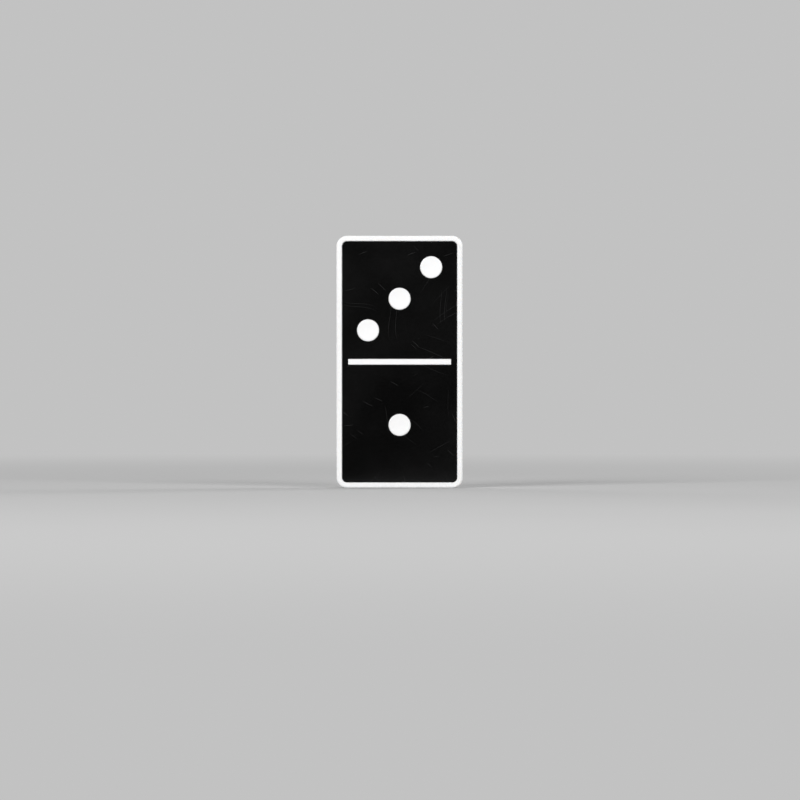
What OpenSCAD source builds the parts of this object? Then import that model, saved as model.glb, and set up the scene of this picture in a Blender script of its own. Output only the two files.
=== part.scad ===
// Domino tile, three over one, in millimetres.
// A white body forms the back, the sides and a thin rim round the face. A black face
// panel lies in the body's tray, a white bar divides it, and four white pips pin it down.
// The tile stands on a short end: X is its width, Z its height, and the pips face -Y.

/* [Tile] */
// Width of the tile, from side to side
tile_w = 25.4; // [20:0.1:34]
// Height of the tile as it stands on its short end
tile_h = 50.8; // [41:0.1:68]
// Thickness of the tile, from face to back
tile_t = 9.5; // [7.5:0.1:14]
// Radius of the four corners, seen from the face
corner_r = 2.1; // [1.5:0.05:4]
// Rounding of the edge round the face
front_round = 0.4; // [0.1:0.05:0.7]
// Rounding of the edge round the back
back_round = 0.7; // [0.1:0.05:1.4]

/* [Rim and tray] */
// Width of the white rim, from the tile's side to the tray
rim_w = 1.1; // [0.9:0.05:1.5]
// How far the rim stands above the face panel
rim_lip = 0.1; // [0.05:0.05:0.3]
// Distance from the tray's wall to the groove that takes the spare glue
glue_inset = 1.2; // [0.6:0.1:1.8]
// Width of the glue groove
glue_w = 0.8; // [0.4:0.1:1.2]
// Depth of the glue groove
glue_depth = 0.3; // [0.1:0.05:0.6]

/* [Face panel] */
// Thickness of the black panel
panel_t = 2.0; // [1.6:0.1:2.6]
// Clearance between the panel's edge and the tray's wall
panel_gap = 0.05; // [0.02:0.01:0.1]

/* [Divider bar] */
// Width of the bar across the middle of the face
bar_w = 1.15; // [0.8:0.05:1.8]
// Depth of the bar in the panel
bar_depth = 1.2; // [0.8:0.1:1.4]
// Black space between each end of the bar and the rim
bar_end_gap = 1.25; // [0.8:0.05:2]

/* [Pips] */
// Diameter of a pip
pip_d = 4.45; // [3.4:0.05:5.4]
// Distance between neighbouring pips, across and up
pip_pitch = 6.35; // [5.3:0.05:7.8]
// How far a pip reaches into the body, below the panel
pip_root = 2.8; // [1.5:0.1:3.6]
// Depth of the shallow dish in the top of a pip
dish_depth = 0.12; // [0.05:0.01:0.25]
// Flat ring left round the dish
dish_margin = 0.3; // [0.2:0.05:0.6]
// Length of the taper that leads the foot of a pip into its socket
lead_length = 0.4; // [0.2:0.1:0.8]
// How much that taper takes off the foot's radius
lead_narrows = 0.2; // [0.1:0.05:0.4]

/* [Fits] */
// Clearance round each pip and round the bar
inlay_gap = 0.02; // [0.01:0.01:0.05]
// How far the pips and the bar lie below the panel's surface
inlay_set = 0.05; // [0.02:0.01:0.1]
// Air space under the foot of each pip
socket_air = 0.2; // [0.1:0.05:0.4]
// Small chamfer that breaks each sharp edge on the face
edge_break = 0.12; // [0.06:0.01:0.2]

/* [Hidden] */
$fn = 96;
// How far a cutting shape reaches past the surface that it opens
over = 1;

// The tray in the body, which the panel fills
tray_w = tile_w - 2 * rim_w;
tray_h = tile_h - 2 * rim_w;
tray_r = max(corner_r - rim_w, 0.2);
tray_floor = tile_t - rim_lip - panel_t;
face_z = tray_floor + panel_t;

// The inlays: the bar across the middle, and the pips about the middle of each half
inlay_top = face_z - inlay_set;
bar_len = tray_w - 2 * bar_end_gap;
half_centre = tile_h / 4;
pip_three_upper_at = [pip_pitch, half_centre + pip_pitch];
pip_three_middle_at = [0, half_centre];
pip_three_lower_at = [-pip_pitch, half_centre - pip_pitch];
pip_one_at = [0, -half_centre];
pip_places = [pip_three_upper_at, pip_three_middle_at, pip_three_lower_at, pip_one_at];

// Every piece is drawn lying on its back, with Z = 0 at the tile's back and the face up.
// This stands it on its short end, centred on the origin, with the face towards -Y.
module upright() {
    translate([0, tile_t / 2, tile_h / 2]) rotate([90, 0, 0]) children();
}

// What is cut from a square corner to round it, drawn from the rounding's centre.
module corner_waste(r) {
    difference() {
        square(2 * r);
        circle(r);
    }
}

// A plate's border in section, from its corner's centre at X = 0 out to r.
module square_border(r, z0, z1) {
    translate([0, z0]) square([r, z1 - z0]);
}

// The same with both outer edges rounded, as the body's are.
module round_border(r, z0, z1, front, back) {
    difference() {
        square_border(r, z0, z1);
        translate([r - front, z1 - front]) corner_waste(front);
        translate([r - back, z0 + back]) mirror([0, 1]) corner_waste(back);
    }
}

// The same with the upper edge broken by a small chamfer, as the panel's is.
module broken_border(r, z0, z1) {
    polygon([[0, z0], [r, z0], [r, z1 - edge_break], [r - edge_break, z1], [0, z1]]);
}

// A recess's border, which flares by the edge break where it meets the surface at z1.
module flared_border(r, z0, z1) {
    polygon([
        [0, z0], [r, z0], [r, z1 - edge_break], [r + edge_break, z1],
        [r + edge_break, z1 + over], [0, z1 + over]
    ]);
}

// A plate w by h with corners of radius r, whose border has the section given as a child.
module plate(w, h, r, z0, z1) {
    run_w = w - 2 * r;
    run_h = h - 2 * r;
    translate([-run_w / 2, -run_h / 2, z0]) cube([run_w, run_h, z1 - z0]);
    for (side = [0, 1]) mirror([side, 0, 0]) translate([run_w / 2, 0, 0])
        rotate([90, 0, 0]) linear_extrude(run_h, center = true) children();
    for (end = [0, 1]) mirror([0, end, 0]) translate([0, run_h / 2, 0])
        rotate([90, 0, 90]) linear_extrude(run_w, center = true) children();
    for (side = [0, 1], end = [0, 1]) mirror([side, 0, 0]) mirror([0, end, 0])
        translate([run_w / 2, run_h / 2, 0]) rotate_extrude(angle = 90) children();
}

// A plain plate with square edges.
module blank(w, h, r, z0, z1) {
    plate(w, h, r, z0, z1) square_border(r, z0, z1);
}

// The groove in the tray's floor that takes the glue squeezed out under the panel.
module glue_groove() {
    inner = glue_inset + glue_w;
    difference() {
        blank(tray_w - 2 * glue_inset, tray_h - 2 * glue_inset, tray_r,
            tray_floor - glue_depth, tray_floor + over);
        blank(tray_w - 2 * inner, tray_h - 2 * inner, tray_r,
            tray_floor - glue_depth - over, tray_floor + 2 * over);
    }
}

// A round hole for a pip, from z0 up past z1, with its mouth flared at z1.
module pip_hole(at, z0, z1) {
    translate([at.x, at.y, 0]) rotate_extrude()
        flared_border(pip_d / 2 + inlay_gap, z0, z1);
}

// The slot for the bar, in two halves, with its long edges flared at the panel's surface.
module bar_slot() {
    rotate([90, 0, 90]) linear_extrude(bar_len + 2 * inlay_gap, center = true)
        for (side = [0, 1]) mirror([side, 0])
            flared_border(bar_w / 2 + inlay_gap, inlay_top - bar_depth, face_z);
}

// The white body: back, sides and rim, with the tray and the pips' sockets in its front.
module body() {
    color("white") upright() difference() {
        plate(tile_w, tile_h, corner_r, 0, tile_t)
            round_border(corner_r, 0, tile_t, front_round, back_round);
        plate(tray_w, tray_h, tray_r, tray_floor, tile_t + over)
            flared_border(tray_r, tray_floor, tile_t);
        glue_groove();
        for (at = pip_places) pip_hole(at, tray_floor - pip_root - socket_air, tray_floor);
    }
}

// The black panel that fills the tray, drilled for the pips and slotted for the bar.
module face_panel() {
    r = max(tray_r - panel_gap, 0.1);
    color("black") upright() difference() {
        plate(tray_w - 2 * panel_gap, tray_h - 2 * panel_gap, r, tray_floor, face_z)
            broken_border(r, tray_floor, face_z);
        for (at = pip_places) pip_hole(at, tray_floor - over, face_z);
        bar_slot();
    }
}

// The white bar that divides the face, with its long upper edges broken.
module divider_bar() {
    color("white") upright() rotate([90, 0, 90]) linear_extrude(bar_len, center = true)
        difference() {
            translate([-bar_w / 2, inlay_top - bar_depth]) square([bar_w, bar_depth]);
            for (side = [-1, 1]) translate([side * bar_w / 2, inlay_top])
                rotate(45) square(edge_break * sqrt(2), center = true);
        }
}

// A white pip: a dowel through the panel into the body, with a shallow dish in its top.
module pip(at) {
    r = pip_d / 2;
    foot = tray_floor - pip_root;
    dish_r = r - dish_margin;
    ball_r = (dish_r * dish_r + dish_depth * dish_depth) / (2 * dish_depth);
    color("white") upright() translate([at.x, at.y, 0]) difference() {
        rotate_extrude() difference() {
            broken_border(r, foot, inlay_top);
            polygon([[r, foot + lead_length], [r - lead_narrows, foot], [r + over, foot - over]]);
        }
        translate([0, 0, inlay_top - dish_depth + ball_r]) sphere(ball_r);
    }
}

body();
face_panel();
divider_bar();
pip(pip_three_upper_at);  // pip_three_upper
pip(pip_three_middle_at);  // pip_three_middle
pip(pip_three_lower_at);  // pip_three_lower
pip(pip_one_at);  // pip_one
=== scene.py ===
# %% [markdown]
# # A domino tile, three over one
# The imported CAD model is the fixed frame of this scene: it says where each piece lies and how big
# it is. The cells below build a finer mesh over each piece, give it a finish and light it.

# %% Load the frame
import math

import bmesh
import bpy
from mathutils import Matrix, Vector


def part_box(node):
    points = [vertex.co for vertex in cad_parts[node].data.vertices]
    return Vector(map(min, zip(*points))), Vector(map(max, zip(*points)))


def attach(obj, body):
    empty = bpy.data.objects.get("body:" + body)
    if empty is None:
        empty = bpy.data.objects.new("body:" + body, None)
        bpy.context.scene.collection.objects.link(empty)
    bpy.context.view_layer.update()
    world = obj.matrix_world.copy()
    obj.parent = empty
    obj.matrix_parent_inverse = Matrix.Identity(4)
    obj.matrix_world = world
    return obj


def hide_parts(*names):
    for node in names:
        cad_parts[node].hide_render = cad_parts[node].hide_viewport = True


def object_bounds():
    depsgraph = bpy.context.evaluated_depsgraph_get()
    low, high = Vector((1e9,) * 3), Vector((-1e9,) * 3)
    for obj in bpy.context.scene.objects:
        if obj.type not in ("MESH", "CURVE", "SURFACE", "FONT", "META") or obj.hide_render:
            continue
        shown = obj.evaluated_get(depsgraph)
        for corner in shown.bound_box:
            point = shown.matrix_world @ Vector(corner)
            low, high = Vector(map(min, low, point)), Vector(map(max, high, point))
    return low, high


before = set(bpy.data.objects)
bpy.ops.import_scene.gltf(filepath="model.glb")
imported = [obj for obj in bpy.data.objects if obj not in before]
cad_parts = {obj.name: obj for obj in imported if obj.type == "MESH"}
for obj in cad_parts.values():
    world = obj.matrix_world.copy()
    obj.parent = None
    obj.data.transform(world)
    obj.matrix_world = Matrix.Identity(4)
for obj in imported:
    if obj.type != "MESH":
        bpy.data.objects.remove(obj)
cad_low, cad_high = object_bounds()
print("nodes in the frame:", ", ".join(sorted(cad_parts)))

# %% [markdown]
# ## Sizes
# Bevels and insets are worked out more safely in millimetres than in metres, because Blender's
# mesh tools treat distances under a tenth of a thousandth of a unit as nothing. So each piece is
# modelled in millimetres, lying on its back with its face up, as it would lie on a bench. The last
# step stands it on its short end and brings it to metres. The large sizes are read from the frame.

# %% Measure the frame
MM = 0.001


def size_of(node):
    """Width, height and thickness of a CAD node, in millimetres."""
    low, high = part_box(node)
    return (high.x - low.x) / MM, (high.z - low.z) / MM, (high.y - low.y) / MM


def depth_of(node):
    """How far a node's back and its front lie above the tile's back, in millimetres."""
    low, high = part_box(node)
    return (cad_high.y - high.y) / MM, (cad_high.y - low.y) / MM


tile_w, tile_h, tile_t = size_of("body")
panel_w, panel_h = size_of("face_panel")[:2]
bar_len, bar_w, bar_depth = size_of("divider_bar")
tray_floor, face_level = depth_of("face_panel")
bar_floor, inlay_level = depth_of("divider_bar")
pip_foot = depth_of("pip_one")[0]
pip_r = size_of("pip_one")[1] / 2
print(f"tile {tile_w:.1f} x {tile_h:.1f} x {tile_t:.1f} mm, pips {2 * pip_r:.2f} mm across")

# %% [markdown]
# The pips lie on a square grid about the middle of each half, as on dice. Their centres are read
# from the frame too, and the step from one to the next gives the pitch of the grid.

# %% Find the pips
PIPS = ["pip_three_upper", "pip_three_middle", "pip_three_lower", "pip_one"]


def pip_centre(node):
    """A pip's centre on the tile lying on its back, measured from the tile's middle."""
    low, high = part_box(node)
    middle = (low + high) / 2 / MM
    return Vector((middle.x, middle.z - tile_h / 2, 0))


pip_at = {node: pip_centre(node) for node in PIPS}
pitch = pip_at["pip_three_upper"].x - pip_at["pip_three_middle"].x
for node, at in pip_at.items():
    print(f"{node} at {at.x:.2f}, {at.y:.2f} mm")

# %% [markdown]
# The box of a piece can't show its roundings, clearances and chamfers, so the CAD model's values
# are named here, in millimetres. The width of the rim and the tray's corners follow from them.

# %% Name the small sizes
corner_r = 2.1
front_round = 0.4
back_round = 0.7
panel_gap = 0.05
inlay_gap = 0.02
edge_break = 0.12
socket_air = 0.2
dish_depth = 0.12
dish_margin = 0.3
rim_w = (tile_w - panel_w) / 2 - panel_gap
tray_r = corner_r - rim_w
print(f"rim {rim_w:.2f} mm wide, tray corners {tray_r:.2f} mm round")

# %% [markdown]
# ## The camera
# The tile is seen straight from the front, level with its lower half and from far away through a
# long lens, so that its sides are hidden and its outline stays a true rectangle. A long lens is
# better here than an orthographic camera, because the gloss then still changes across the face.
# The tile fills a little under a third of the picture's height and sits a touch above the middle,
# and a hair to its left.

# %% Place the camera
LENS = 200.0
SENSOR = 36.0
TILE_IN_VIEW = 0.3155
TILE_ABOVE_MIDDLE = 0.0477
TILE_LEFT_OF_MIDDLE = 0.0005

view_width = tile_h * MM / TILE_IN_VIEW
camera_distance = view_width * LENS / SENSOR
camera_data = bpy.data.cameras.new("camera")
camera_data.lens = LENS
camera_data.sensor_width = SENSOR
camera_data.dof.use_dof = False
camera = bpy.data.objects.new("camera", camera_data)
bpy.context.scene.collection.objects.link(camera)
camera_height = tile_h * MM / 2 - TILE_ABOVE_MIDDLE * view_width
camera_right = TILE_LEFT_OF_MIDDLE * view_width
camera.location = (camera_right, cad_low.y - camera_distance, camera_height)
camera.rotation_euler = (math.radians(90), 0, 0)
bpy.context.scene.camera = camera
print(f"camera {camera_distance:.3f} m away, {camera_height / MM:.1f} mm high")

# %% [markdown]
# ## The stage
# A photographer stands such a small thing on a seamless sweep, with no line where floor and wall
# meet. A curved sheet does that from one side only, and this tile is looked at from all round. So
# the floor here is a wide disc of matt board that turns, with the distance from the tile, into the
# plain tone of the background behind it. Near the tile it takes light and shadow as board does.

# %% Lay the floor
FLOOR_RADIUS = 2.4
FLOOR_POINTS = 96


def new_piece(bm, name):
    """Turns a finished bmesh into an object of the scene."""
    mesh = bpy.data.meshes.new(name)
    bm.to_mesh(mesh)
    bm.free()
    piece = bpy.data.objects.new(name, mesh)
    bpy.context.scene.collection.objects.link(piece)
    return piece


bm = bmesh.new()
bmesh.ops.create_circle(bm, cap_ends=True, radius=FLOOR_RADIUS, segments=FLOOR_POINTS)
floor = new_piece(bm, "floor")
print("floor across:", 2 * FLOOR_RADIUS, "m")

# %% [markdown]
# Every finish here is a Principled shader with its patterns joined to it, so a small class keeps
# the joining short. It adds a node, sets it and feeds it in one call.

# %% Start a finish


class Finish:
    """A material being built: a Principled shader, and short ways to add and join nodes."""

    def __init__(self, name):
        self.material = bpy.data.materials.new(name)
        self.material.use_nodes = True
        self.tree = self.material.node_tree
        self.shader = self.tree.nodes["Principled BSDF"]
        self.output = self.tree.nodes["Material Output"]

    def node(self, kind, inputs=None, **settings):
        """Adds a node, sets its settings, and sets or joins its inputs by name or number."""
        made = self.tree.nodes.new("ShaderNode" + kind)
        for name, value in settings.items():
            setattr(made, name, value)
        for name, value in (inputs or {}).items():
            self.feed(made.inputs[name], value)
        return made

    def feed(self, socket, value):
        """Joins a node's output to a socket, or sets the socket to a plain value."""
        if isinstance(value, bpy.types.NodeSocket):
            self.tree.links.new(value, socket)
        else:
            socket.default_value = value

    def set(self, values):
        """Sets or joins the shader's sockets by name."""
        for name, value in values.items():
            self.feed(self.shader.inputs[name], value)


def grey(value):
    return (value, value, value, 1.0)


# %% [markdown]
# The board has a faint mottle, and no gloss at all, so that a grazing view along it shows no mirror
# image of the tile. Farther out it fades into a glow, which has the tone of the background and
# takes neither light nor shadow.

# %% Paint the floor
BACKGROUND_TONE = 0.54
BOARD_TONE = 0.58
MOTTLE = 0.015
MOTTLE_SCALE = 12.0
BLEND_FROM, BLEND_TO = 0.1, 0.6

board = Finish("matt_board")
place = board.node("TexCoord").outputs["Object"]
mottle = board.node("TexNoise", {"Vector": place, "Scale": MOTTLE_SCALE, "Detail": 3.0})
tone = board.node("MapRange", {"Value": mottle.outputs["Fac"],
                               "To Min": BOARD_TONE * (1 - MOTTLE),
                               "To Max": BOARD_TONE * (1 + MOTTLE)})
board.set({"Base Color": tone.outputs["Result"], "Roughness": 1.0, "Specular IOR Level": 0.0})
distance = board.node("VectorMath", {0: place}, operation="LENGTH")
far = board.node("MapRange", {"Value": distance.outputs["Value"], "From Min": BLEND_FROM,
                              "From Max": BLEND_TO}, interpolation_type="SMOOTHSTEP")
glow = board.node("Emission", {"Color": grey(BACKGROUND_TONE)})
mix = board.node("MixShader", {0: far.outputs["Result"], 1: board.shader.outputs["BSDF"],
                               2: glow.outputs["Emission"]})
board.feed(board.output.inputs["Surface"], mix.outputs["Shader"])
floor.data.materials.append(board.material)
print(f"board fades out from {BLEND_FROM} to {BLEND_TO} m from the tile")

# %% [markdown]
# ## The light
# White plastic and black plastic ask for opposite things. The white needs broad, even light, and
# the black shows only what it mirrors. So soft boxes stand round the tile, the two strongest well
# to the left and right in front, where a flat face doesn't mirror them at the camera.

# %% Hang the lights
TARGET = Vector((0, 0, tile_h * MM / 2))
# Each has a place and a size in metres, and a power in watts
SOFT_BOXES = {
    "key": ((-0.60, -0.95, 0.50), 0.55, 8.8),
    "fill": ((0.58, -1.02, 0.56), 0.60, 6.4),
    "top": ((0.10, 0.00, 1.10), 0.80, 1.0),
    "right": ((0.95, 0.55, 0.45), 0.60, 4.6),
    "back": ((-0.62, 0.95, 0.16), 0.60, 4.4),
}
for name, (stand, size, watts) in SOFT_BOXES.items():
    light = bpy.data.lights.new(name, "AREA")
    light.size = size
    light.energy = watts
    lamp = bpy.data.objects.new(name, light)
    lamp.location = stand
    lamp.rotation_euler = (TARGET - lamp.location).to_track_quat("-Z", "Y").to_euler()
    lamp.visible_camera = False
    bpy.context.scene.collection.objects.link(lamp)
print(f"{len(SOFT_BOXES)} soft boxes, {sum(box[2] for box in SOFT_BOXES.values()):.1f} W in all")

# %% [markdown]
# Black cards stand and lie where the face would otherwise mirror the pale stage. They show in
# reflections only: they cast no shadow, take no light from the floor and stay out of every view.

# %% Set out the black cards


def black_card(name, size, place, turn):
    """A card that shows only in reflections."""
    bm = bmesh.new()
    bmesh.ops.create_grid(bm, x_segments=1, y_segments=1, size=size / 2,
                          matrix=Matrix.Translation(place) @ Matrix.Rotation(turn, 4, "X"))
    card = new_piece(bm, name)
    card.visible_camera = False
    card.visible_diffuse = False
    card.visible_shadow = False
    black = Finish(name)
    black.set({"Base Color": grey(0.0), "Roughness": 1.0, "Specular IOR Level": 0.0})
    card.data.materials.append(black.material)
    print(f"{name}: {size} m across")


black_card("card_behind_camera", size=2.0, place=(0, -1.35, 0.5), turn=math.radians(90))
black_card("card_on_floor", size=1.3, place=(0, -0.67, 0.001), turn=0)

# %% [markdown]
# The world gives the even light that a pale studio's walls give, and behind the tile it shows the
# background's plain tone. The Standard view keeps tones as they are set. The usual AgX view would
# roll the whites off to grey.

# %% Set the world and the view
WORLD_LIGHT = 0.25
world = bpy.data.worlds.new("world")
bpy.context.scene.world = world
world.use_nodes = True
studio = world.node_tree
studio_light = studio.nodes["Background"]
studio_light.inputs["Color"].default_value = grey(1.0)
studio_light.inputs["Strength"].default_value = WORLD_LIGHT
behind = studio.nodes.new("ShaderNodeBackground")
behind.inputs["Color"].default_value = grey(BACKGROUND_TONE)
ray = studio.nodes.new("ShaderNodeLightPath")
choose = studio.nodes.new("ShaderNodeMixShader")
# The camera sees the plain tone, and all other rays meet the studio's light
studio.links.new(ray.outputs["Is Camera Ray"], choose.inputs[0])
studio.links.new(studio_light.outputs["Background"], choose.inputs[1])
studio.links.new(behind.outputs["Background"], choose.inputs[2])
studio.links.new(choose.outputs["Shader"], studio.nodes["World Output"].inputs["Surface"])
bpy.context.scene.view_settings.view_transform = "Standard"
print("world light:", WORLD_LIGHT)

# %% [markdown]
# ## Modelling helpers
# A tile is a slab with rounded corners, and so is its panel, so one helper makes both. It begins
# as a cube, whose four upright edges are bevelled into the corners that are seen from the face.
# Bevel rounds an edge with true arcs, which is quicker and cleaner than placing points on a circle.

# %% Make a rounded slab
CORNER_STEPS = 12
# Levels that differ by less than this are the same, in millimetres
SAME = 1e-3


def bevel(bm, edges, offset, steps):
    """Rounds edges in a number of steps."""
    bmesh.ops.bevel(bm, geom=edges, offset=offset, offset_type="OFFSET", segments=steps,
                    profile=0.5, affect="EDGES", material=-1)


def at_level(bm, z):
    """The edges that lie flat at a level."""
    return [e for e in bm.edges if all(abs(v.co.z - z) < SAME for v in e.verts)]


def slab(width, height, low, high, radius):
    """A slab from one level to another, with the corners of its outline rounded."""
    bm = bmesh.new()
    bmesh.ops.create_cube(bm, size=1.0, matrix=Matrix.Translation((0, 0, (low + high) / 2))
                          @ Matrix.Diagonal((width, height, high - low, 1)))
    upright = [e for e in bm.edges if abs(e.verts[0].co.z - e.verts[1].co.z) > SAME]
    bevel(bm, upright, radius, CORNER_STEPS)
    return bm


def face_near(bm, point):
    """The face whose middle is nearest to a point."""
    return min(bm.faces, key=lambda f: (f.calc_center_median() - Vector(point)).length)


# %% [markdown]
# Round holes in a flat face go in square cells. Cutting planes first divide the face so that each
# pip has a cell of its own. The cell is then taken out and its four sides are divided into as many
# points as the hole has. Cutting keeps the faces tidy, where a Boolean would leave slivers that
# catch the light.

# %% Cut cells and open them
HOLE_POINTS = 64
HALF_STEP = math.tau / HOLE_POINTS / 2
# Points closer than this are merged, in millimetres
MERGE = 1e-4


def cut(bm, normal, places, wanted=None):
    """Divides the mesh, or only the faces that are wanted, by planes across one axis."""
    for place in places:
        chosen = [f for f in bm.faces if wanted is None or wanted(f)]
        edges = dict.fromkeys(e for f in chosen for e in f.edges)
        verts = dict.fromkeys(v for f in chosen for v in f.verts)
        bmesh.ops.bisect_plane(bm, geom=[*verts, *edges, *chosen], dist=MERGE,
                               plane_co=Vector(normal) * place, plane_no=normal)


def turn_to(arm):
    """The turn from X to an arm. It begins half a step early, where a ring has no point."""
    return (math.atan2(arm.y, arm.x) + HALF_STEP) % math.tau


def open_cells(bm, centre, levels):
    """Takes out the cell round a centre at each level, and returns its divided sides as a ring."""
    cells = [face_near(bm, (centre.x, centre.y, level)) for level in levels]
    sides = [edge for cell in cells for edge in cell.edges]
    bmesh.ops.delete(bm, geom=cells, context="FACES_ONLY")
    made = bmesh.ops.subdivide_edges(bm, edges=sides, cuts=HOLE_POINTS // 4 - 1)
    points = {v for e in made["geom_inner"] + made["geom_split"]
              if isinstance(e, bmesh.types.BMEdge) and e.is_boundary for v in e.verts}
    in_turn = sorted(points, key=lambda v: turn_to(v.co - centre))
    return [[v for v in in_turn if abs(v.co.z - level) < SAME] for level in levels]


# %% [markdown]
# A hole is a stack of rings with bands of four-sided faces between them: the sides of the cell, the
# flared mouth, the throat and the bottom. All rings are counted round from the X axis, so each
# point is joined to its own neighbour and no band can come out twisted. A blind hole ends in a flat
# face, and a through hole ends in a second cell, which is opened in the face below.

# %% Bore holes


def ring(bm, centre, radius, level):
    """A circle of points, counted round from the X axis."""
    turns = [math.tau * step / HOLE_POINTS for step in range(HOLE_POINTS)]
    return [bm.verts.new((centre.x + radius * math.cos(turn), centre.y + radius * math.sin(turn),
                          level)) for turn in turns]


def bore(bm, centre, top, bottom, radius, through=False):
    """A hole with a flared mouth from one level down to another, blind or right through."""
    cells = open_cells(bm, centre, [top, bottom] if through else [top])
    rings = [cells[0], ring(bm, centre, radius + edge_break, top),
             ring(bm, centre, radius, top - edge_break), ring(bm, centre, radius, bottom),
             *cells[1:]]
    for outer, inner in zip(rings, rings[1:]):
        for i in range(HOLE_POINTS):
            bm.faces.new((outer[i - 1], outer[i], inner[i], inner[i - 1]))
    if not through:
        bm.faces.new(rings[-1])


# %% [markdown]
# A finished piece is closed and its faces point outwards. It is then stood upright in one move,
# which is baked into the mesh so that the object itself stays at the origin. Rounded edges meet
# flat faces without a crease, so everything is shaded smooth, and the Weighted Normal modifier
# lets each large flat face rule the shading at its own edge, which keeps it looking flat.

# %% Finish a piece
UPRIGHT = (Matrix.Translation((0, tile_t / 2 * MM, tile_h / 2 * MM))
           @ Matrix.Rotation(math.radians(90), 4, "X") @ Matrix.Diagonal((MM, MM, MM, 1)))
# Faces that meet at a larger angle than this keep a crease
SHARP = math.radians(40)
# How strongly large faces rule the shading, of 100
WEIGHT = 80


def finish_piece(bm, name, node):
    """Closes the mesh, stands it upright and puts it in the place of its CAD node."""
    bmesh.ops.remove_doubles(bm, verts=bm.verts, dist=MERGE)
    bmesh.ops.recalc_face_normals(bm, faces=bm.faces)
    faults = sum(not e.is_contiguous for e in bm.edges)
    volume = bm.calc_volume(signed=True)
    bmesh.ops.transform(bm, matrix=UPRIGHT, verts=bm.verts)
    for face in bm.faces:
        face.smooth = True
    for edge in bm.edges:
        edge.smooth = edge.is_manifold and edge.calc_face_angle() < SHARP
    piece = new_piece(bm, name)
    weigh = piece.modifiers.new("flat faces rule", "WEIGHTED_NORMAL")
    weigh.keep_sharp = True
    weigh.weight = WEIGHT
    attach(piece, "root")
    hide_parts(node)
    print(f"{name}: {len(piece.data.polygons)} faces, {faults} open or twisted edges,"
          f" {volume:.1f} mm3")
    return piece


# %% [markdown]
# ## The body
# The real body is one moulding of white urea or melamine, hard and heavy for its size. The slab's
# front and back outlines are bevelled, the front more tightly. Insetting the front face leaves the
# rim, a second inset breaks the edge of the tray, and the tray's wall is extruded down from there.

# %% Mould the body
FRONT_STEPS = 5
BACK_STEPS = 7

body_bm = slab(tile_w, tile_h, 0, tile_t, corner_r)
bevel(body_bm, at_level(body_bm, tile_t), front_round, FRONT_STEPS)
bevel(body_bm, at_level(body_bm, 0), back_round, BACK_STEPS)


def inset(bm, face, thickness, depth=0.0):
    """Insets a face, raises or sinks it, and leaves a band of four-sided faces round it."""
    bmesh.ops.inset_region(bm, faces=[face], thickness=thickness, depth=depth,
                           use_even_offset=True, use_boundary=True)


front = face_near(body_bm, (0, 0, tile_t))
inset(body_bm, front, rim_w - front_round - edge_break)
inset(body_bm, front, edge_break, -edge_break)
wall = bmesh.ops.extrude_face_region(body_bm, geom=[front])["geom"]
tray_verts = [v for v in wall if isinstance(v, bmesh.types.BMVert)]
bmesh.ops.delete(body_bm, geom=[front], context="FACES_ONLY")
bmesh.ops.translate(body_bm, vec=(0, 0, tray_floor - tile_t + edge_break), verts=tray_verts)
print(f"body so far: {len(body_bm.faces)} faces, tray {tile_t - tray_floor:.2f} mm deep")

# %% [markdown]
# Under the panel the tray has four blind sockets, one for each pip. The floor is cut into cells,
# and only the floor, because the cuts would add needless lines to the outside.

# %% Sink the sockets
columns = [pitch * step for step in (-1.5, -0.5, 0.5, 1.5)]
rows = sorted({round(pip_at[node].y + side * pitch / 2, 4) for node in PIPS for side in (-1, 1)})


def on_tray_floor(face):
    return all(abs(v.co.z - tray_floor) < SAME for v in face.verts)


cut(body_bm, (1, 0, 0), columns, on_tray_floor)
cut(body_bm, (0, 1, 0), rows, on_tray_floor)
for at in pip_at.values():
    bore(body_bm, at, tray_floor, pip_foot - socket_air, pip_r + inlay_gap)
body = finish_piece(body_bm, "tile_body", "body")

# %% [markdown]
# ## The black panel
# The panel is a thin slab of the same hard plastic in black, let into the tray. Its upper outline
# is broken, and four holes go right through it for the pips. The cuts that make the pips' cells
# also mark out the mouth of the slot for the bar.

# %% Make the panel
PANEL_EDGE_STEPS = 2

panel_bm = slab(panel_w, panel_h, tray_floor, face_level, tray_r - panel_gap)
bevel(panel_bm, at_level(panel_bm, face_level), edge_break, PANEL_EDGE_STEPS)
slot_w = bar_len + 2 * inlay_gap
slot_h = bar_w + 2 * inlay_gap
slot_mouth = slot_h + 2 * edge_break
cut(panel_bm, (1, 0, 0), [*columns, -slot_w / 2, slot_w / 2])
cut(panel_bm, (0, 1, 0), [*rows, -slot_mouth / 2, slot_mouth / 2])
for at in pip_at.values():
    bore(panel_bm, at, face_level, tray_floor, pip_r + inlay_gap, through=True)
print(f"panel so far: {len(panel_bm.faces)} faces, {face_level - tray_floor:.2f} mm thick")

# %% [markdown]
# The slot is blind. The faces inside its mouth are sunk twice: a little way while the slot narrows,
# which flares its long edges, and then straight down to the foot of the bar.

# %% Press the slot


def in_slot(face):
    middle = face.calc_center_median()
    return (abs(middle.z - face_level) < SAME and abs(middle.x) < slot_w / 2
            and abs(middle.y) < slot_mouth / 2)


def press(bm, faces, drop, narrow):
    """Sinks a group of faces, narrowed across the slot, and returns them."""
    made = bmesh.ops.extrude_face_region(bm, geom=faces)["geom"]
    bmesh.ops.delete(bm, geom=faces, context="FACES")
    verts = [v for v in made if isinstance(v, bmesh.types.BMVert)]
    bmesh.ops.translate(bm, vec=(0, 0, -drop), verts=verts)
    bmesh.ops.scale(bm, vec=(1, narrow, 1), verts=verts)
    return [f for f in made if isinstance(f, bmesh.types.BMFace)]


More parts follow.
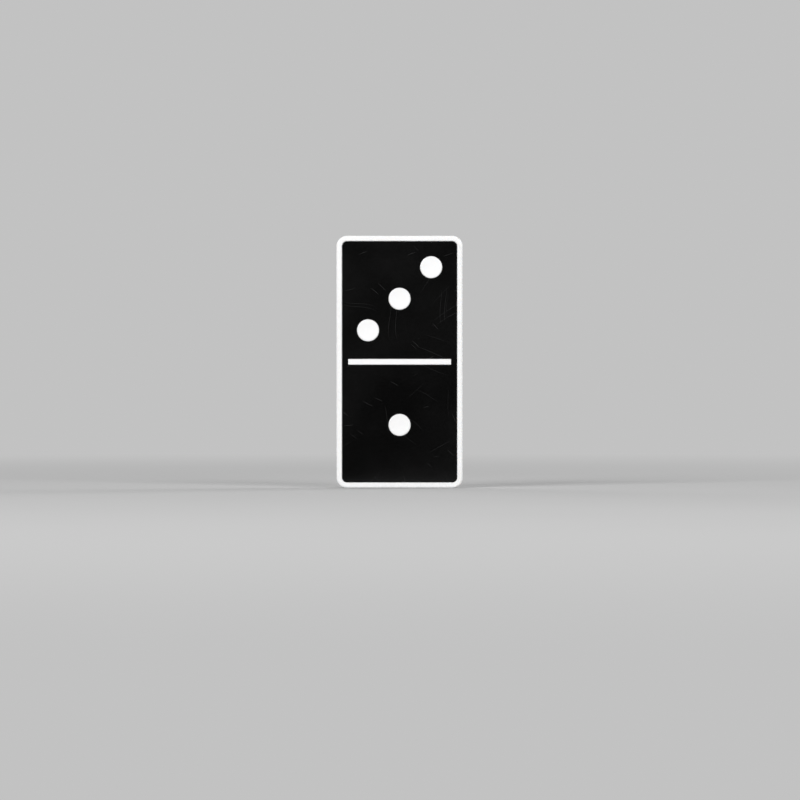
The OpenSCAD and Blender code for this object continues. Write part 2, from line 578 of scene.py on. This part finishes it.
mouth = press(panel_bm, [f for f in panel_bm.faces if in_slot(f)], edge_break, slot_h / slot_mouth)
press(panel_bm, mouth, face_level - bar_floor - edge_break, 1.0)
panel = finish_piece(panel_bm, "black_face_panel", "face_panel")

# %% [markdown]
# ## The divider bar
# The bar is a strip of the white plastic, milled to length and let into its slot. Its long upper
# edges are broken so that they catch a thin line of light.

# %% Mill the bar
BAR_EDGE_STEPS = 3

bar_bm = bmesh.new()
bmesh.ops.create_cube(bar_bm, size=1.0, matrix=Matrix.Translation(
    (0, 0, (bar_floor + inlay_level) / 2)) @ Matrix.Diagonal((bar_len, bar_w, bar_depth, 1)))
long_edges = [e for e in at_level(bar_bm, inlay_level)
              if abs(e.verts[0].co.x - e.verts[1].co.x) > bar_len / 2]
bevel(bar_bm, long_edges, edge_break, BAR_EDGE_STEPS)
bar = finish_piece(bar_bm, "white_divider_bar", "divider_bar")

# %% [markdown]
# ## The pips
# A pip is a turned dowel, so it is made as a lathe would make it: half of its section is drawn and
# spun about its axis. The shallow dish in its top is a parabola, sampled at a few points, and the
# foot is tapered to lead it into its socket. Each point keeps its place across the axis in an
# attribute, which the finish reads later to lay rings round each pip's own middle.

# %% Turn the pips
DISH_STEPS = 8
# How far in from the corner a rounded edge passes, as a share of its size
ROUND_MIDDLE = 0.3
lead_length = 0.4
lead_narrows = 0.2


def pip_section():
    """Half of a pip's section, from the middle of its dish round to the middle of its foot."""
    dish_r = pip_r - dish_margin
    dish = [(dish_r * step / DISH_STEPS,
             inlay_level - dish_depth * (1 - (step / DISH_STEPS) ** 2))
            for step in range(DISH_STEPS + 1)]
    middle = edge_break * ROUND_MIDDLE
    edge = [(pip_r - edge_break, inlay_level), (pip_r - middle, inlay_level - middle),
            (pip_r, inlay_level - edge_break)]
    foot = [(pip_r, pip_foot + lead_length), (pip_r - lead_narrows, pip_foot), (0, pip_foot)]
    return dish + edge + foot


FROM_AXIS = "from_axis"
pips = []
for node in PIPS:
    pip_bm = bmesh.new()
    section = [pip_bm.verts.new((x, 0, z)) for x, z in pip_section()]
    lines = [pip_bm.edges.new(pair) for pair in zip(section, section[1:])]
    bmesh.ops.spin(pip_bm, geom=section + lines, axis=(0, 0, 1), cent=(0, 0, 0),
                   angle=math.tau, steps=HOLE_POINTS, use_merge=True)
    from_axis = pip_bm.verts.layers.float_vector.new(FROM_AXIS)
    for vert in pip_bm.verts:
        vert[from_axis] = (vert.co.x, vert.co.y, 0)
    bmesh.ops.translate(pip_bm, vec=pip_at[node], verts=pip_bm.verts)
    pips.append(finish_piece(pip_bm, "white_" + node, node))

# %% [markdown]
# ## Plastic, layer by layer
# Hard plastic looks like plastic, and not like flat paint, through small things: clouds in its
# polish, a faint waviness, pits, scratches and worn edges. Each of them changes the tone, the gloss
# and the height of the surface together, so each is one layer here. A layer is a mask, which is 1
# where the mark is, and what the mark does. Patterns are sized in millimetres and lie in the
# object's own space, so that they stay put on the tile. Heights are in micrometres.

# %% Build plastic in layers
MICRON = 1e-6


class Plastic(Finish):
    """A hard plastic, whose tone, roughness and height build up layer by layer."""

    def __init__(self, name, tone, rough):
        super().__init__(name)
        place = self.node("TexCoord").outputs["Object"]
        self.mm = self.node("VectorMath", {0: place, "Scale": 1 / MM}, operation="SCALE").outputs[0]
        self.tone = tone
        self.rough = rough
        self.height = 0.0

    def maths(self, operation, *values):
        return self.node("Math", dict(enumerate(values)), operation=operation).outputs["Value"]

    def vector_maths(self, operation, *values):
        """A vector, or a number where the operation measures one."""
        made = self.node("VectorMath", dict(enumerate(values)), operation=operation)
        measured = operation in ("LENGTH", "DOT_PRODUCT")
        return made.outputs["Value" if measured else "Vector"]

    def ramp(self, value, start, stop):
        """0 up to the start and 1 from the stop on, with a soft rise between. It may run down."""
        return self.node("MapRange", {"Value": value, "From Min": start, "From Max": stop},
                         interpolation_type="SMOOTHSTEP").outputs["Result"]

    def layer(self, mask, tone=1.0, rough=0.0, height=0.0):
        """Where the mask is 1: the tone is multiplied, and roughness and height are added."""
        if tone != 1.0:
            change = self.maths("MULTIPLY_ADD", mask, tone - 1, 1.0)
            self.tone = self.maths("MULTIPLY", self.tone, change)
        if rough:
            self.rough = self.maths("MULTIPLY_ADD", mask, rough, self.rough)
        if height:
            self.height = self.maths("MULTIPLY_ADD", mask, height, self.height)

    def coat(self, *pieces):
        """Joins the layers to the shader and puts the finish on pieces."""
        bump = self.node("Bump", {"Height": self.height, "Distance": MICRON})
        self.set({"Base Color": self.tone, "Roughness": self.rough,
                  "Normal": bump.outputs["Normal"]})
        for piece in pieces:
            piece.data.materials.append(self.material)
        print(f"{self.material.name}: {len(self.tree.nodes)} nodes on {len(pieces)} pieces")


# %% [markdown]
# Two masks do most of the work. Clouds are plain noise. A scratch could be a thin line of noise,
# but noise lines wander and never end. Voronoi cells do better: a small ball round each cell's
# middle, in a space that is squeezed along one axis, comes out as a hairline with pointed ends. A
# random value of each cell then picks a few of them. Large soft noise bends the space first, so
# that no two hairlines run quite alike. Without the squeeze, the balls are pits.

# %% Make clouds, scratches and pits
# Noise keeps almost wholly between these values
NOISE_LOW, NOISE_HIGH = 0.3, 0.7
# The radius of a ball, in cells
BALL = 0.25
# The size of the bends and how far they move a point, in millimetres
BEND_SIZE, BEND = 14.0, 8.0


def clouds(plastic, size, detail=2.0):
    """Soft patches of about one size."""
    noise = plastic.node("TexNoise", {"Vector": plastic.mm, "Scale": 1 / size, "Detail": detail})
    return plastic.ramp(noise.outputs["Fac"], NOISE_LOW, NOISE_HIGH)


def bent_space(plastic):
    """The surface point in millimetres, moved about across the flats but not through them."""
    drift = plastic.node("TexNoise", {"Vector": plastic.mm, "Scale": 1 / BEND_SIZE, "Detail": 0.0})
    return plastic.vector_maths("MULTIPLY_ADD", drift.outputs["Color"], (BEND, 0, BEND), plastic.mm)


def hairlines(plastic, space, turn, length, width, share):
    """Marks of a length and width, which run along X and are then turned, in degrees."""
    cell = [side / (2 * BALL) for side in (length, width, width)]
    radians = [math.radians(angle) for angle in turn]
    squeezed = plastic.node("Mapping", {"Vector": space, "Rotation": radians, "Scale": cell},
                            vector_type="TEXTURE").outputs["Vector"]
    cells = plastic.node("TexVoronoi", {"Vector": squeezed, "Scale": 1.0})
    ball = plastic.ramp(cells.outputs["Distance"], BALL, BALL / 2)
    luck = plastic.node("SeparateColor", {"Color": cells.outputs["Color"]}).outputs["Red"]
    return plastic.maths("MULTIPLY", ball, plastic.maths("LESS_THAN", luck, share))


def scratched(plastic, space, turns, length, width, share, **effect):
    """A layer of scratches for each direction that they run in."""
    for turn in turns:
        plastic.layer(hairlines(plastic, space, turn, length, width, share), **effect)


def pitted(plastic, size, share, **effect):
    """A layer of round marks."""
    plastic.layer(hairlines(plastic, plastic.mm, (0, 0, 0), size, size, share), **effect)


# %% [markdown]
# ## White body
# Knocks dull the edges of a tile first. The edges are found from the tile's own sizes: a point is
# on one where two of its three distances past an inner box are more than nothing, so the products
# of pairs of them make the mask.

# %% Find the outside edges
# How far scuffs reach in from an edge, in millimetres
EDGE_REACH = 1.1
# The share of the full mark below which nothing is scuffed
EDGE_START = 0.05


def outside_edges(plastic, reach):
    """1 along the outside edges of the tile, and 0 on its flats."""
    inner_box = (tile_w / 2 - reach, tile_t / 2 - reach, tile_h / 2 - reach)
    from_middle = plastic.vector_maths("SUBTRACT", plastic.mm, (0, 0, tile_h / 2))
    folded = plastic.vector_maths("ABSOLUTE", from_middle)
    past = plastic.vector_maths("SUBTRACT", folded, inner_box)
    held = plastic.vector_maths("MAXIMUM", past, (0, 0, 0))
    axes = plastic.node("SeparateXYZ", {0: held}).outputs
    shifted = plastic.node("CombineXYZ", {0: axes[1], 1: axes[2], 2: axes[0]}).outputs["Vector"]
    pairs = plastic.vector_maths("DOT_PRODUCT", held, shifted)
    return plastic.ramp(pairs, EDGE_START * reach ** 2, reach ** 2)


# %% [markdown]
# Urea moulding powder sets hard, white and slightly see-through at its edges, and is tumbled to a
# gloss. Sliding about a table leaves hairlines on its flats, in a few directions. The marks of each
# direction are one layer, and the sides and ends have directions of their own.

# %% Finish the body
# Turns about X, Y and Z in degrees
FLAT_TURNS = [(0, 20, 0), (0, -38, 0), (0, 76, 0)]
SIDE_TURNS = [(0, 88, 12), (10, 5, 75)]

body_white = Plastic("white_body", tone=0.92, rough=0.18)
body_white.layer(clouds(body_white, size=9.0, detail=3.0), tone=0.98, rough=0.05)
body_white.layer(clouds(body_white, size=1.7), height=5.0)
body_white.layer(clouds(body_white, size=0.4), rough=0.03, height=0.4)
for space, turns in ((bent_space(body_white), FLAT_TURNS), (body_white.mm, SIDE_TURNS)):
    scratched(body_white, space, turns, length=8.0, width=0.12, share=0.14, tone=0.84, rough=0.18)
pitted(body_white, size=0.18, share=0.006, tone=0.78, height=-4.0)
scuffs = body_white.maths("MULTIPLY", outside_edges(body_white, EDGE_REACH),
                          clouds(body_white, size=1.1, detail=3.0))
body_white.layer(scuffs, tone=0.96, rough=0.16, height=-2.0)
body_white.set({"IOR": 1.55, "Subsurface Weight": 0.12, "Subsurface Radius": (1.0, 0.9, 0.8),
                "Subsurface Scale": 0.0006})
body_white.coat(body)

# %% [markdown]
# ## Black face
# The panel is the same plastic, coloured through with carbon black and rubbed to a satin. A good
# black returns well under a hundredth of the light, so nearly all that shows is gloss: smudges are
# duller patches, and a hairline is a thin dull groove that breaks up the dark reflection. The face
# also has nicks, which are shorter, wider and deeper.

# %% Finish the face
NICK_TURNS = [(0, 51, 0), (0, 160, 0)]

face_black = Plastic("black_face", tone=0.0017, rough=0.18)
face_black.layer(clouds(face_black, size=13.0, detail=4.0), tone=1.25, rough=0.06)
face_black.layer(clouds(face_black, size=2.1), height=3.5)
face_black.layer(clouds(face_black, size=0.3), tone=1.2, rough=0.03, height=0.4)
bent = bent_space(face_black)
scratched(face_black, bent, FLAT_TURNS, length=9.0, width=0.08, share=0.045,
          tone=3.0, rough=0.18, height=-2.0)
scratched(face_black, bent, NICK_TURNS, length=2.5, width=0.12, share=0.03,
          tone=3.5, rough=0.22, height=-3.0)
pitted(face_black, size=0.14, share=0.006, tone=2.0, height=-4.0)
face_black.set({"IOR": 1.5, "Specular IOR Level": 0.35})
face_black.coat(panel)

# %% [markdown]
# ## White inlays
# The bar and the pips are cut from white rod and strip, and polished after cutting. The polish is
# brighter than the body's, but it never quite takes out the tool's marks: they run along the bar
# and in rings round a pip. Noise that depends on one number alone, the height across the bar or the
# distance from a pip's axis, gives uneven lines of just that kind.

# %% Make the white of the inlays


def tool_marks(plastic, value, pitch):
    """Uneven lines wherever the value changes, about a pitch apart."""
    noise = plastic.node("TexNoise", {"W": value, "Scale": 1 / pitch, "Detail": 2.0},
                         noise_dimensions="1D")
    return plastic.ramp(noise.outputs["Fac"], NOISE_LOW, NOISE_HIGH)


def inlay_white(name):
    """The white of the inlays, still without its tool marks."""
    plastic = Plastic(name, tone=0.93, rough=0.16)
    plastic.layer(clouds(plastic, size=2.5, detail=3.0), tone=0.99, rough=0.05)
    plastic.layer(clouds(plastic, size=0.2, detail=3.0), tone=0.993, rough=0.02, height=0.3)
    scratched(plastic, plastic.mm, NICK_TURNS, length=3.0, width=0.07, share=0.05,
              tone=0.95, rough=0.14, height=-1.5)
    plastic.set({"IOR": 1.55, "Subsurface Weight": 0.1, "Subsurface Radius": (1.0, 0.9, 0.8),
                 "Subsurface Scale": 0.0005})
    return plastic


# %% [markdown]
# The bar and the pips share that white, each with its own tool's marks on top. The pips are also a
# little darker and duller outside their dishes, in a ring round their edge next to the panel.

# %% Finish the bar and the pips
milled = inlay_white("white_milled")
up_the_bar = milled.node("SeparateXYZ", {0: milled.mm}).outputs["Z"]
milled.layer(tool_marks(milled, up_the_bar, pitch=0.12), tone=0.99, rough=0.05, height=0.8)
milled.coat(bar)

turned = inlay_white("white_turned")
from_axis = turned.node("Attribute", attribute_name=FROM_AXIS).outputs["Vector"]
radius = turned.vector_maths("LENGTH", from_axis)
turned.layer(tool_marks(turned, radius, pitch=0.14), tone=0.99, rough=0.05, height=0.8)
# Darker and duller in a ring from the dish's edge out to the pip's rim, beside the panel
turned.layer(turned.ramp(radius, pip_r - dish_margin, pip_r), tone=0.93, rough=0.08)
turned.coat(*pips)

# %% [markdown]
# ## The frame's size
# The CAD model's box is printed, in millimetres.

# %% Print the frame's size
print("cad   ", [round(v * 1000, 3) for v in (*cad_low, *cad_high)])
